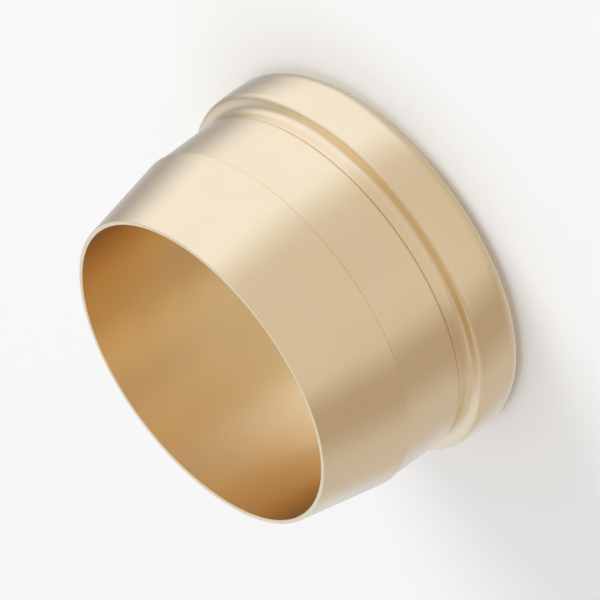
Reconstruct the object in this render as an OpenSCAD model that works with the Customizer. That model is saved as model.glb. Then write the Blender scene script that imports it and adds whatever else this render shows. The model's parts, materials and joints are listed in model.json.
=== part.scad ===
// Compression ring: one turned brass piece that grips a tube inside a coned fitting.
// It stands on the back face of its collar at z = 0, with its axis on Z and its thin nose edge up.
// From the back: rounded collar, shoulder, neck, land, small step and tapered nose, round one straight bore.

/* [Bore] */
// Outside diameter of the tube that passes through the ring
tube_d = 15; // [12:0.5:22]
// Play between tube and bore, on the diameter
bore_play = 0.2; // [0.1:0.05:0.5]
// Width of the lead-in chamfer at the back of the bore
lead_in = 0.4; // [0.2:0.05:0.6]

/* [Nose] */
// Height of the nose cone
nose_h = 4.3; // [3:0.1:6]
// Included angle of the nose cone
nose_angle = 23; // [20:0.5:30]
// Wall left at the nose edge
nose_wall = 0.2; // [0.1:0.01:0.4]

/* [Land] */
// Height of the land between the neck and the nose cone
land_h = 3.05; // [2:0.05:5]
// Depth of the small step under the foot of the cone, on the radius
step_depth = 0.05; // [0.03:0.01:0.2]
// How far the land widens from its top to its foot, on the radius
land_flare = 0.05; // [0:0.01:0.1]
// Rounding of the edge at the land's foot
land_edge_radius = 0.15; // [0.05:0.01:0.3]

/* [Neck] */
// Height from the top of the collar to the land's foot
neck_h = 0.9; // [0.7:0.05:2]
// Depth that the neck is cut in under the land, on the radius
neck_depth = 0.12; // [0.08:0.01:0.3]
// Radius in the corner between neck and shoulder
neck_radius = 0.35; // [0.2:0.05:0.8]
// Fall of the shoulder from the neck to the collar's edge
shoulder_angle = 15; // [5:1:40]

/* [Collar] */
// Height of the collar
collar_h = 2.5; // [2:0.1:4]
// How far the collar stands out past the foot of the land, on the radius
collar_reach = 0.64; // [0.4:0.02:1.2]
// How far the crowned side falls back at its top and bottom, on the radius
crown_drop = 0.06; // [0.02:0.01:0.12]
// Radius that blends the crowned side
crown_radius = 6; // [2:0.5:10]
// Rounding of the collar's top edge
top_radius = 0.3; // [0.1:0.05:0.5]
// Large rounding of the collar's rear edge
rear_radius = 0.85; // [0.4:0.05:1]

/* [Hidden] */

// Steps in each rounded corner of the section
arc_steps = 10;
brass = [0.83, 0.72, 0.52];

// Heights, stacked from the back face
land_foot_z = collar_h + neck_h;
cone_foot_z = land_foot_z + land_h;
ring_h = cone_foot_z + nose_h;

// Radii, each one built on the bore
bore_r = (tube_d + bore_play) / 2;
nose_r = bore_r + nose_wall;
cone_foot_r = nose_r + nose_h * tan(nose_angle / 2);
land_top_r = cone_foot_r - step_depth;
land_foot_r = land_top_r + land_flare;
neck_r = land_foot_r - neck_depth;
collar_r = land_foot_r + collar_reach;
collar_edge_r = collar_r - crown_drop;

// The shoulder rises from the collar's edge to its root on the neck
shoulder_root_z = collar_h + (collar_edge_r - neck_r) * tan(shoulder_angle);
// The crown is fullest halfway up the side that the rear rounding leaves
crown_z = (rear_radius + collar_h) / 2;

// Corners of the section as [distance from the axis, height, rounding], from the bore's back outwards
section_corners = [
    [bore_r + lead_in, 0, 0],
    [collar_edge_r, 0, rear_radius],
    [collar_r, crown_z, crown_radius],
    [collar_edge_r, collar_h, top_radius],
    [neck_r, shoulder_root_z, neck_radius],
    [neck_r, land_foot_z - neck_depth, 0],
    [land_foot_r, land_foot_z, land_edge_radius],
    [land_top_r, cone_foot_z - step_depth, 0],
    [cone_foot_r, cone_foot_z, 0],
    [nose_r, ring_h, 0],
    [bore_r, ring_h, 0],
    [bore_r, lead_in, 0]
];

function unit(v) = v / norm(v);

// Distance from a corner to where its rounding starts, at most half of either side
function rounding_reach(half_angle, radius, side_a, side_b) =
    min(radius / tan(half_angle), norm(side_a) / 2, norm(side_b) / 2);

// Points along the arc that rounds the corner p between its neighbours a and b
function corner_arc(a, p, b, radius) =
    let (
        half_angle = acos(unit(a - p) * unit(b - p)) / 2,
        reach = rounding_reach(half_angle, radius, a - p, b - p),
        centre = p + unit(unit(a - p) + unit(b - p)) * reach / cos(half_angle),
        start = p + unit(a - p) * reach - centre,
        end = p + unit(b - p) * reach - centre,
        sweep = 180 - 2 * half_angle
    )
    [for (i = [0 : arc_steps])
        let (turned = sweep * i / arc_steps)
        centre + (start * sin(sweep - turned) + end * sin(turned)) / sin(sweep)];

// The outline with every rounded corner replaced by its arc
function rounded_outline(corners) =
    let (
        count = len(corners),
        place = [for (c = corners) [c[0], c[1]]]
    )
    [for (i = [0 : count - 1])
        each corners[i][2] > 0
            ? corner_arc(place[(i + count - 1) % count], place[i], place[(i + 1) % count], corners[i][2])
            : [place[i]]];

module compression_ring() {
    color(brass)
        rotate_extrude($fn = 180)
            polygon(rounded_outline(section_corners));
}

compression_ring();
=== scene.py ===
# %% [markdown]
# # A turned brass compression ring
# The ring is one piece of brass, turned on a lathe: a straight bore inside, and outside a thin-edged nose
# cone, a plain land, a narrow neck and a rounded collar. It slides on a tube, and a nut presses it shut.
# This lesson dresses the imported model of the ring: it takes its sizes from the frame, turns a finer mesh
# with Geometry Nodes, gives it two brass finishes, and lights and frames it as a small product picture.

import json
import math

import bmesh
import bpy
from mathutils import Matrix, Vector


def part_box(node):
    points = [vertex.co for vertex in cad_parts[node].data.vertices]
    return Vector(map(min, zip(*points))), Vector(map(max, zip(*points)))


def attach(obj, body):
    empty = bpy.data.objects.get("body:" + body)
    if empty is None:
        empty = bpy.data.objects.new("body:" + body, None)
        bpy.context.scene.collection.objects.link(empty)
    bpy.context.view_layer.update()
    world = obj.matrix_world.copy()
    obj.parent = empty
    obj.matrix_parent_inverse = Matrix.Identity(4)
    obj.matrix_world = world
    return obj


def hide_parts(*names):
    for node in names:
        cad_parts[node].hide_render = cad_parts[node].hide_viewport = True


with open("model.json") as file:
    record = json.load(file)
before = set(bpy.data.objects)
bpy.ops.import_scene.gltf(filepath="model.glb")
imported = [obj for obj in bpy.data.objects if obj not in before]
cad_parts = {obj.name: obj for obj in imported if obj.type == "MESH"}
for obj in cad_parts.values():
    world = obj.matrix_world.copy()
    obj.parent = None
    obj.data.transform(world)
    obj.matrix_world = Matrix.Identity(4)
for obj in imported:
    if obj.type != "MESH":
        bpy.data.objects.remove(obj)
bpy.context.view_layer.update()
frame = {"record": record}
RING = "compression_ring"
MM = 0.001

# %% [markdown]
# ## The sizes of the section
# A turned part is known by its section: the outline that the tool follows. The ring's height, its widest
# radius and its bore come from the frame, so that the finer ring can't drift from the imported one. The
# other sizes are the ones that a turner would read off the drawing, in metres.

# %% Read the main sizes from the frame and name the rest
low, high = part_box(RING)
bore_mount = next(m for m in frame["record"]["mounts"] if m["name"] == "tube_bore")

bore_radius = bore_mount["dims"]["r_mm"] * MM
collar_radius = high.x
ring_height = high.z

nose_height = 4.3 * MM
land_height = 3.05 * MM
collar_height = 2.5 * MM
nose_wall = 0.2 * MM
nose_half_angle = math.radians(11.5)
step_depth = 0.05 * MM
land_flare = 0.05 * MM
neck_depth = 0.12 * MM
shoulder_fall = math.radians(15)
crown_drop = 0.06 * MM
lead_in = 0.4 * MM

neck_radius = 0.35 * MM
land_edge_radius = 0.15 * MM
top_radius = 0.3 * MM
rear_radius = 0.85 * MM
crown_radius = 6 * MM
broken_edge = 0.03 * MM

nose_radius = bore_radius + nose_wall
cone_foot_radius = nose_radius + nose_height * math.tan(nose_half_angle)
land_top_radius = cone_foot_radius - step_depth
land_foot_radius = land_top_radius + land_flare
neck_root_radius = land_foot_radius - neck_depth
collar_edge_radius = collar_radius - crown_drop

cone_foot = ring_height - nose_height
land_foot = cone_foot - land_height
shoulder_root = collar_height + (collar_edge_radius - neck_root_radius) * math.tan(shoulder_fall)
crown_height = (rear_radius + collar_height) / 2
print("cone foot at", round(cone_foot / MM, 3), "mm, land foot at", round(land_foot / MM, 3), "mm")

# %% [markdown]
# ## Drawing the section
# The outline could be drawn by hand as a curve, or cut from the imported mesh. Here it is a short list of
# corners, each with its distance from the axis, its height and the radius of its rounding. The corners
# become a small mesh of points and edges, and each point carries its rounding as an attribute, which the
# node tree reads. A sharp corner is given a tiny rounding too, because no real turned edge is a knife.

# %% Make the section as points, edges and a rounding for each point
section_corners = [
    (bore_radius + lead_in, 0, broken_edge),
    (collar_edge_radius, 0, rear_radius),
    (collar_radius, crown_height, crown_radius),
    (collar_edge_radius, collar_height, top_radius),
    (neck_root_radius, shoulder_root, neck_radius),
    (neck_root_radius, land_foot - neck_depth, broken_edge),
    (land_foot_radius, land_foot, land_edge_radius),
    (land_top_radius, cone_foot - step_depth, broken_edge / 2),
    (cone_foot_radius, cone_foot, broken_edge / 2),
    (nose_radius, ring_height, broken_edge),
    (bore_radius, ring_height, broken_edge),
    (bore_radius, lead_in, broken_edge),
]


def section_mesh(corners):
    """A closed outline in the XY plane: X is the distance from the axis and Y the height."""
    mesh = bpy.data.meshes.new("ring_section")
    points = [(across, up, 0) for across, up, rounding in corners]
    sides = [(i, (i + 1) % len(points)) for i in range(len(points))]
    mesh.from_pydata(points, sides, [])
    roundings = mesh.attributes.new("rounding", "FLOAT", "POINT")
    for value, corner in zip(roundings.data, corners):
        value.value = corner[2]
    return mesh


section = section_mesh(section_corners)
print("section has", len(section.vertices), "corners")

# %% [markdown]
# ## Two brass finishes
# Brass has no colour of its own apart from what it reflects, so the finish is a metal with a pale yellow
# base colour. Turning leaves fine grooves round the ring. They blur a reflection up and down but hardly
# sideways, which is anisotropy, and they show as faint rings. Noise on Object coordinates makes the rings:
# it reads the distance from the axis and the height, so the marks run round the part as a tool leaves them.
# The bore is a second finish: rougher, with wider rings, because its wall was reamed, and warmer, which is a
# painted reflection of the brass that the wall mostly reflects.

# %% Helpers that add nodes and join them
def add_node(tree, kind, settings=None, **inputs):
    """A new node, with its settings and the values of its named inputs, or links into them."""
    node = tree.nodes.new(kind)
    for name, value in (settings or {}).items():
        setattr(node, name, value)
    for name, value in inputs.items():
        socket = node.inputs[name.replace("_", " ")]
        if isinstance(value, bpy.types.NodeSocket):
            tree.links.new(value, socket)
        else:
            socket.default_value = value
    return node


def math_node(tree, operation, *values):
    """The result of a Math node on numbers or sockets."""
    node = tree.nodes.new("ShaderNodeMath")
    node.operation = operation
    for socket, value in zip(node.inputs, values):
        if isinstance(value, bpy.types.NodeSocket):
            tree.links.new(value, socket)
        else:
            socket.default_value = value
    return node.outputs[0]


def spread(tree, value, low, high):
    """A value from 0 to 1, stretched to run from low to high."""
    node = add_node(tree, "ShaderNodeMapRange", To_Min=low, To_Max=high)
    tree.links.new(value, node.inputs["Value"])
    return node.outputs["Result"]


# %% Make a turned finish
def turned_metal(name, light_tone, deep_tone, roughness, ring_pitch, mark_depth):
    """Brass with faint rings round the Z axis. The pitch is in metres."""
    material = bpy.data.materials.new(name)
    material.use_nodes = True
    tree = material.node_tree
    tree.nodes.clear()

    place = add_node(tree, "ShaderNodeTexCoord").outputs["Object"]
    axes = add_node(tree, "ShaderNodeSeparateXYZ", Vector=place)
    flat = add_node(tree, "ShaderNodeCombineXYZ", X=axes.outputs["X"], Y=axes.outputs["Y"]).outputs["Vector"]
    across = add_node(tree, "ShaderNodeVectorMath", {"operation": "LENGTH"}).outputs["Value"]
    tree.links.new(flat, across.node.inputs[0])
    lathe = add_node(tree, "ShaderNodeCombineXYZ", X=across, Y=axes.outputs["Z"]).outputs["Vector"]

    marks = add_node(tree, "ShaderNodeTexNoise", Vector=lathe, Scale=1 / ring_pitch, Detail=2.0)
    clouds = add_node(tree, "ShaderNodeTexNoise", Vector=place, Scale=0.4 / MM, Detail=2.0)

    tone = add_node(tree, "ShaderNodeMix", {"data_type": "RGBA"})
    tree.links.new(spread(tree, clouds.outputs["Fac"], 0.2, 0.8), tone.inputs["Factor"])
    tone.inputs["A"].default_value = light_tone
    tone.inputs["B"].default_value = deep_tone

    satin = math_node(tree, "MULTIPLY_ADD", clouds.outputs["Fac"], 0.08, roughness - 0.04)
    satin = math_node(tree, "MULTIPLY_ADD", marks.outputs["Fac"], 0.06, satin)

    groove = add_node(tree, "ShaderNodeBump", Strength=0.2, Distance=mark_depth, Height=marks.outputs["Fac"])

    round_the_axis = add_node(tree, "ShaderNodeVectorMath", {"operation": "CROSS_PRODUCT"})
    round_the_axis.inputs[0].default_value = (0, 0, 1)
    tree.links.new(flat, round_the_axis.inputs[1])

    metal = add_node(
        tree, "ShaderNodeBsdfPrincipled", {"distribution": "GGX"},
        Metallic=1.0, Anisotropic=0.7, Anisotropic_Rotation=0.25,
        Base_Color=tone.outputs["Result"], Roughness=satin, Normal=groove.outputs["Normal"],
        Tangent=round_the_axis.outputs["Vector"])
    add_node(tree, "ShaderNodeOutputMaterial", Surface=metal.outputs["BSDF"])
    return material


turned_brass = turned_metal(
    "turned_brass", (0.93, 0.77, 0.52, 1), (0.91, 0.73, 0.47, 1), 0.26, 0.09 * MM, 0.004 * MM)
# The bore's warmer, deeper tones are a painted reflection of brass in brass; its higher roughness and wider ring
# pitch are the reamed finish.
reamed_bore_painted_reflection = turned_metal(
    "reamed_bore_painted_reflection", (0.92, 0.70, 0.38, 1), (0.88, 0.62, 0.30, 1), 0.30, 0.12 * MM, 0.006 * MM)
print("finishes:", turned_brass.name, "and", reamed_bore_painted_reflection.name)

# %% [markdown]
# ## Turning the ring
# The section could be spun with the Screw modifier, or by hand in edit mode. A node tree is used here,
# because it follows the rule of the part: round each corner, add points along the straight stretches so
# that shading stays even, and sweep the outline round a circle. Its inputs are the sizes that a maker
# might change. The result is baked to a plain mesh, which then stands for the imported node.

# %% Build the node tree that turns a section into a ring
def turning_tree(outside, inside, bore):
    """Rounds the section's corners, divides its stretches and sweeps it round the Z axis."""
    tree = bpy.data.node_groups.new("turn_a_section", "GeometryNodeTree")
    face = tree.interface
    face.new_socket("Section", in_out="INPUT", socket_type="NodeSocketGeometry")
    face.new_socket("Steps round", in_out="INPUT", socket_type="NodeSocketInt")
    face.new_socket("Steps in a corner", in_out="INPUT", socket_type="NodeSocketInt")
    face.new_socket("Point spacing", in_out="INPUT", socket_type="NodeSocketFloat")
    face.new_socket("Bore radius", in_out="INPUT", socket_type="NodeSocketFloat")
    face.new_socket("Ring", in_out="OUTPUT", socket_type="NodeSocketGeometry")
    given = tree.nodes.new("NodeGroupInput").outputs

    outline = add_node(tree, "GeometryNodeMeshToCurve", Mesh=given["Section"]).outputs["Curve"]
    rounding = add_node(tree, "GeometryNodeInputNamedAttribute", {"data_type": "FLOAT"}, Name="rounding")
    outline = add_node(
        tree, "GeometryNodeFilletCurve", {"mode": "POLY"}, Curve=outline, Count=given["Steps in a corner"],
        Radius=rounding.outputs["Attribute"], Limit_Radius=True).outputs["Curve"]

    here = add_node(tree, "GeometryNodeInputPosition").outputs["Position"]
    following = add_node(tree, "GeometryNodeOffsetPointInCurve", Offset=1).outputs["Point Index"]
    there = add_node(
        tree, "GeometryNodeFieldAtIndex", {"data_type": "FLOAT_VECTOR", "domain": "POINT"},
        Index=following, Value=here).outputs["Value"]
    stretch = add_node(tree, "ShaderNodeVectorMath", {"operation": "DISTANCE"})
    tree.links.new(here, stretch.inputs[0])
    tree.links.new(there, stretch.inputs[1])
    cuts = math_node(tree, "DIVIDE", stretch.outputs["Value"], given["Point spacing"])
    whole_cuts = add_node(tree, "FunctionNodeFloatToInt", {"rounding_mode": "FLOOR"}, Float=cuts)
    outline = add_node(
        tree, "GeometryNodeSubdivideCurve", Curve=outline, Cuts=whole_cuts.outputs["Integer"]).outputs["Curve"]

    inwards = math_node(tree, "MULTIPLY", given["Bore radius"], -1.0)
    offset = add_node(tree, "ShaderNodeCombineXYZ", X=inwards).outputs["Vector"]
    profile = add_node(
        tree, "GeometryNodeTransform", Geometry=outline, Translation=offset, Rotation=(math.pi, 0, 0))
    path = add_node(
        tree, "GeometryNodeCurvePrimitiveCircle", Resolution=given["Steps round"], Radius=given["Bore radius"])
    ring = add_node(tree, "GeometryNodeCurveToMesh", Curve=path.outputs["Curve"],
                    Profile_Curve=profile.outputs["Geometry"])
    ring = add_node(tree, "GeometryNodeFlipFaces", Mesh=ring.outputs["Mesh"]).outputs["Mesh"]
    ring = add_node(tree, "GeometryNodeSetShadeSmooth", Geometry=ring).outputs["Geometry"]
    ring = add_node(tree, "GeometryNodeRealizeInstances", Geometry=ring).outputs["Geometry"]
    ring = add_node(tree, "GeometryNodeSetMaterial", Geometry=ring, Material=outside).outputs["Geometry"]

    flat = add_node(tree, "ShaderNodeVectorMath", {"operation": "MULTIPLY"})
    tree.links.new(here, flat.inputs[0])
    flat.inputs[1].default_value = (1, 1, 0)
    across = add_node(tree, "ShaderNodeVectorMath", {"operation": "LENGTH"})
    tree.links.new(flat.outputs["Vector"], across.inputs[0])
    wall = math_node(tree, "LESS_THAN", across.outputs["Value"], bore + 0.01 * MM)
    ring = add_node(tree, "GeometryNodeSetMaterial", Geometry=ring, Selection=wall, Material=inside)
    add_node(tree, "NodeGroupOutput", Ring=ring.outputs["Geometry"])
    return tree


def set_input(modifier, name, value):
    """Sets a modifier's input by the identifier of the socket that has this name."""
    sockets = modifier.node_group.interface.items_tree
    modifier[next(s.identifier for s in sockets if s.name == name and s.in_out == "INPUT")] = value


# %% Turn the ring and bake it to a plain mesh
blank = bpy.data.objects.new("ring_blank", section)
bpy.context.scene.collection.objects.link(blank)
turning = blank.modifiers.new("turning", "NODES")
turning.node_group = turning_tree(turned_brass, reamed_bore_painted_reflection, bore_radius)
set_input(turning, "Steps round", 360)
set_input(turning, "Steps in a corner", 10)
set_input(turning, "Point spacing", 0.14 * MM)
set_input(turning, "Bore radius", bore_radius)

evaluated = blank.evaluated_get(bpy.context.evaluated_depsgraph_get())
ring_mesh = bpy.data.meshes.new_from_object(evaluated)
bpy.data.objects.remove(blank)
ring_mesh.name = "dressed_ring"
dressed_ring = bpy.data.objects.new("dressed_ring", ring_mesh)
bpy.context.scene.collection.objects.link(dressed_ring)
print("ring has", len(ring_mesh.vertices), "vertices and", len(ring_mesh.polygons), "faces")

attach(dressed_ring, "root")
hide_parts(RING)

# %% [markdown]
# ## Floor
# The ring stands on a plain pale table. The camera sees it as near white, the metal doesn't see it at all, and it
# still takes the ring's soft shadow.

# %% Lay the floor
def pale_floor():
    """A wide square at z = 0 in a matt off-white."""
    half = 3.0
    mesh = bpy.data.meshes.new("table_top")
    mesh.from_pydata([(-half, -half, 0), (half, -half, 0), (half, half, 0), (-half, half, 0)], [], [(0, 1, 2, 3)])
    floor = bpy.data.objects.new("table_top", mesh)
    bpy.context.scene.collection.objects.link(floor)
    material = bpy.data.materials.new("pale_table")
    material.use_nodes = True
    tree = material.node_tree
    tree.nodes.clear()
    matt = add_node(tree, "ShaderNodeBsdfDiffuse", Color=(0.95, 0.95, 0.95, 1))
    add_node(tree, "ShaderNodeOutputMaterial", Surface=matt.outputs["BSDF"])
    mesh.materials.append(material)
    floor.visible_glossy = False
    return floor


pale_floor()

# %% [markdown]
# ## Light
# Bright metal shows its surroundings more than its own colour, so small turned parts are photographed in
# a tent of paper, on a clear glass table that hardly shows in the metal. The tent here is a ball of lit
# paper with panels: a white one to the right of the ring, a brown card at its left, a narrow dark strip
# and plain paper between. It is seen by reflections only, and the camera, the lamps and the shadows pass
# through it. The brightness that draws the long soft edges on the ring comes from these panels, so the
# metal itself holds no painted light.

# %% Name the tent's panels
# Each panel runs between two angles round the ring: 0 faces the camera's side and 90 faces along +X.
# Tones are linear, and 1 is white.
tent_panels = [
    ("left wall", -135, -104, (0.64, 0.61, 0.60)),
    ("brown card", -84, -64, (0.50, 0.42, 0.35)),
    ("front paper", -46, 30, (0.74, 0.70, 0.67)),
    ("white panel", 52, 112, (1.04, 1.10, 1.26)),
    ("dark strip", 139, 150, (0.45, 0.46, 0.50)),
    ("back paper", 166, 205, (0.82, 0.88, 1.02)),
]
top_tone = (0.66, 0.62, 0.56)


# %% Sew the tent
def panel_stops(panels):
    """Places from 0 to 1 with tones, for a colour ramp that reads the angle from -180 to 180."""
    stops = []
    for name, start, end, tone in panels:
        stops += [(start, tone), (end, tone)]
    wrapped = sorted(((angle + 180) % 360 / 360, tone) for angle, tone in stops)
    return [(0.0, wrapped[0][1]), *wrapped, (1.0, wrapped[0][1])]


def tent_paper(panels, radius):
    """Lit paper: its tone follows the angle round Z, and turns plain towards the top and the bottom."""
    material = bpy.data.materials.new("tent_paper")
    material.use_nodes = True
    tree = material.node_tree
    tree.nodes.clear()
    place = add_node(tree, "ShaderNodeTexCoord").outputs["Object"]
    axes = add_node(tree, "ShaderNodeSeparateXYZ", Vector=place)
    towards = math_node(tree, "MULTIPLY", axes.outputs["Y"], -1.0)
    angle = math_node(tree, "ARCTAN2", axes.outputs["X"], towards)
    turn = math_node(tree, "MULTIPLY_ADD", angle, 1 / (2 * math.pi), 0.5)
    ramp = add_node(tree, "ShaderNodeValToRGB", Fac=turn)
    elements = ramp.color_ramp.elements
    stops = panel_stops(panels)
    while len(elements) < len(stops):
        elements.new(0.5)
    for element, (place_on_ramp, tone) in zip(elements, stops):
        element.position = place_on_ramp
        element.color = (*tone, 1)

    height = math_node(tree, "ABSOLUTE", math_node(tree, "DIVIDE", axes.outputs["Z"], radius))
    near_pole = add_node(tree, "ShaderNodeMapRange", {"interpolation_type": "SMOOTHSTEP"},
                         From_Min=0.7, From_Max=0.95, Value=height)
    paper = add_node(tree, "ShaderNodeMix", {"data_type": "RGBA"})
    tree.links.new(near_pole.outputs["Result"], paper.inputs["Factor"])
    tree.links.new(ramp.outputs["Color"], paper.inputs[6])
    paper.inputs[7].default_value = (*top_tone, 1)
    glow = add_node(tree, "ShaderNodeEmission", Strength=1.0, Color=paper.outputs[2])
    add_node(tree, "ShaderNodeOutputMaterial", Surface=glow.outputs["Emission"])
    return material


def tent(panels, radius=0.5):
    """A ball of paper round the table, seen by reflections only."""
    ball = bmesh.new()
    bmesh.ops.create_uvsphere(ball, u_segments=96, v_segments=48, radius=radius)
    mesh = bpy.data.meshes.new("paper_tent")
    ball.to_mesh(mesh)
    ball.free()
    mesh.materials.append(tent_paper(panels, radius))
    sheet = bpy.data.objects.new("paper_tent", mesh)
    bpy.context.scene.collection.objects.link(sheet)
    sheet.visible_camera = False
    sheet.visible_diffuse = False
    sheet.visible_shadow = False
    print("tent has", len(panels), "panels")
    return sheet


tent(tent_panels)

# %% Hang the lamps and set the world
def soft_lamp(name, place, aim, width, height, watts, colour=(1, 1, 1)):
    """A rectangular area lamp at a place, turned to an aim point."""
    lamp = bpy.data.lights.new(name, "AREA")
    lamp.shape = "RECTANGLE"
    lamp.size = width
    lamp.size_y = height
    lamp.energy = watts
    lamp.color = colour
    thing = bpy.data.objects.new(name, lamp)
    thing.location = place
    thing.rotation_euler = (Vector(aim) - Vector(place)).to_track_quat("-Z", "Y").to_euler()
    bpy.context.scene.collection.objects.link(thing)
    return thing


key = soft_lamp("key_box", (0.30, -0.05, 0.16), (0, 0, 0.005), 0.20, 0.20, 0.5)
top = soft_lamp("top_box", (-0.05, 0.05, 0.40), (0, 0, 0.005), 0.30, 0.30, 0.6)
for lamp in (key, top):
    lamp.visible_glossy = False

world = bpy.data.worlds.new("studio")
bpy.context.scene.world = world
world.use_nodes = True
world_tree = world.node_tree
world_tree.nodes.clear()
paths = add_node(world_tree, "ShaderNodeLightPath").outputs
seen = math_node(world_tree, "MAXIMUM", paths["Is Camera Ray"], paths["Is Glossy Ray"])
seen = math_node(world_tree, "MAXIMUM", seen, paths["Is Transmission Ray"])
strength = add_node(world_tree, "ShaderNodeMapRange", Value=seen, To_Min=0.5, To_Max=1.0).outputs["Result"]
sky = add_node(world_tree, "ShaderNodeBackground", Strength=strength, Color=(1, 1, 1, 1))
add_node(world_tree, "ShaderNodeOutputWorld", Surface=sky.outputs["Background"])

# %% [markdown]
# ## Camera
# A long lens from 27 degrees above the mouth, rolled so that the nose points down to the left. The lens is worked
# out for a picture 600 pixels square.

# %% Place the camera
picture_side = 600
pixels_per_metre = 22.67 / MM
aim_height = 5 * MM
camera_distance = 0.3
camera_rise = math.radians(27.0)
camera_roll = math.radians(234.0)
ring_right_of_centre = -5.05 / pixels_per_metre
ring_below_centre = 4.7 / pixels_per_metre

level_right = Vector((1, 0, 0))
towards_camera = Vector((0, -math.cos(camera_rise), math.sin(camera_rise)))
level_up = towards_camera.cross(level_right)
picture_right = level_right * math.cos(camera_roll) + level_up * math.sin(camera_roll)
picture_up = level_up * math.cos(camera_roll) - level_right * math.sin(camera_roll)

lens = bpy.data.cameras.new("long_lens")
lens.sensor_width = 36
lens.lens = pixels_per_metre * camera_distance * lens.sensor_width / picture_side
lens.clip_start = 0.01
lens.clip_end = 20
camera = bpy.data.objects.new("long_lens", lens)
camera.rotation_mode = "QUATERNION"
turn = (-towards_camera).to_track_quat("-Z", "Y")
camera.location = (Vector((0, 0, aim_height)) + towards_camera * camera_distance
                   - picture_right * ring_right_of_centre + picture_up * ring_below_centre)
axes = Matrix((picture_right, picture_up, towards_camera)).transposed()
camera.rotation_quaternion = axes.to_quaternion()
bpy.context.scene.collection.objects.link(camera)
bpy.context.scene.camera = camera
bpy.context.scene.view_settings.view_transform = "Standard"
